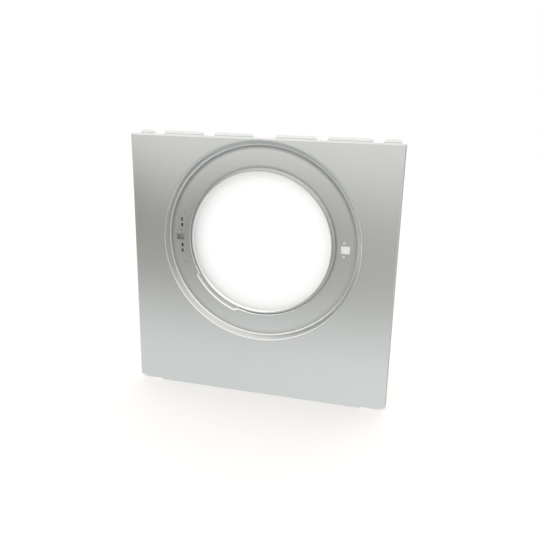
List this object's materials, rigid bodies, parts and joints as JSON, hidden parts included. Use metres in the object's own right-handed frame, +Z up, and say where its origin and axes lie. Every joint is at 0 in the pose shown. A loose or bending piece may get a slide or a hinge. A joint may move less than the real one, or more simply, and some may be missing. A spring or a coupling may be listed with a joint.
{
  "type": "washing machine front panel",
  "caption": "Folded sheet steel front panel with a round recessed door opening, gasket collar, hinge and latch holes and a hinge bracket behind.",
  "frame": {"origin": "under the middle of the panel, half way between its face and its back, at the level of the bottom flange's underside", "axes": "+X to the right seen from the front, +Y from the face to the back, +Z up"},
  "size_m": [0.595, 0.03, 0.5931],
  "materials": {
    "silver_paint": "satin metallic silver paint",
    "galvanised_steel": "dull galvanised steel"
  },
  "bodies": {
    "root": {"front_panel": "silver_paint", "hinge_bracket": "galvanised_steel"}
  },
  "joints": []
}
